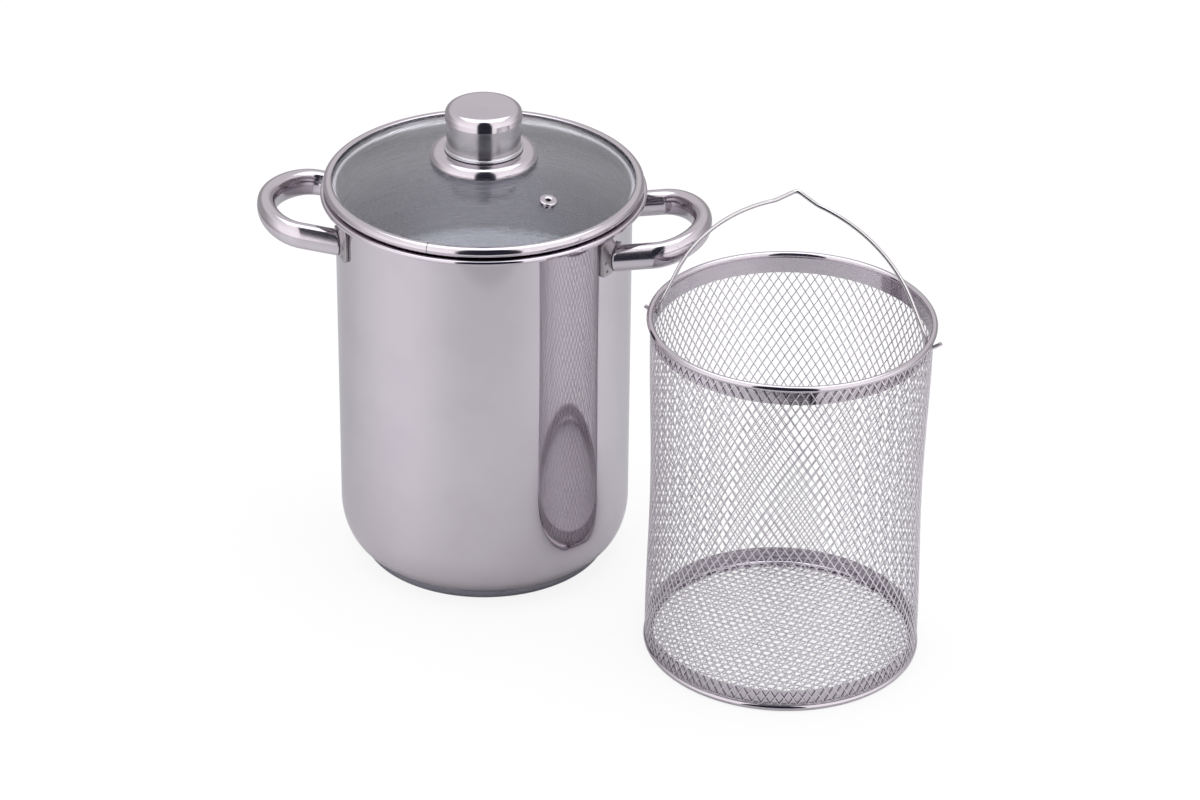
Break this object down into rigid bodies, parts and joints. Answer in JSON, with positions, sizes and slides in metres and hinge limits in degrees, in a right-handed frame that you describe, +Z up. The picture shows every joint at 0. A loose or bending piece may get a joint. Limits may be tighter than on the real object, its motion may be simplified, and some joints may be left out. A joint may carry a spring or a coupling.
{
  "type": "asparagus pot",
  "caption": "Tall steel cooking pot with a domed glass lid, a stepped knob, tube handles and a diamond-mesh basket that lifts out on a wire bail.",
  "frame": {"origin": "centre of the pot's underside, on the table", "axes": "+X from the pot's axis through the handle on the basket's side, +Z up, +Y away from the viewer"},
  "size_m": [0.3735, 0.249, 0.2697],
  "materials": {
    "polished_steel": "mirror-polished stainless steel",
    "satin_steel": "satin, brushed round its axis",
    "aluminium": "plain, closed in",
    "glass": "clear, slightly grey",
    "silicone": "soft, pale",
    "insert": "moulded, closed in",
    "mesh_steel": "bright expanded sheet",
    "wire_steel": "bright drawn wire"
  },
  "bodies": {
    "pot": {"pot_body": "polished_steel", "base_cover": "satin_steel", "base_core": "aluminium", "handle_left": "polished_steel", "handle_right": "polished_steel", "bracket_left_front": "polished_steel", "bracket_left_rear": "polished_steel", "bracket_right_front": "polished_steel", "bracket_right_rear": "polished_steel"},
    "lid": {"lid_glass": "glass", "lid_ring": "polished_steel", "vent_eyelet": "polished_steel", "knob_cap": "polished_steel", "knob_neck": "satin_steel", "knob_skirt": "polished_steel", "knob_insert": "insert", "knob_screw": "polished_steel", "knob_washer": "polished_steel", "knob_gasket": "silicone"},
    "basket": {"basket_rim": "polished_steel", "basket_foot": "polished_steel", "basket_sleeve": "mesh_steel", "basket_floor": "mesh_steel"},
    "bail": {"bail": "wire_steel"}
  },
  "joints": [
    {"name": "lid_lift", "type": "slide", "parent": "pot", "child": "lid", "axis": [0, 0, 1], "range_m": [0, 0.15]},
    {"name": "basket_lift", "type": "slide", "parent": "pot", "child": "basket", "axis": [0, 0, 1], "range_m": [0, 0.25]},
    {"name": "bail_swing", "type": "hinge", "parent": "basket", "child": "bail", "pos_m": [0.17188, -0.08578, 0.1888], "axis": [0.9895, -0.1444, 0], "range_deg": [-82, 82]}
  ]
}
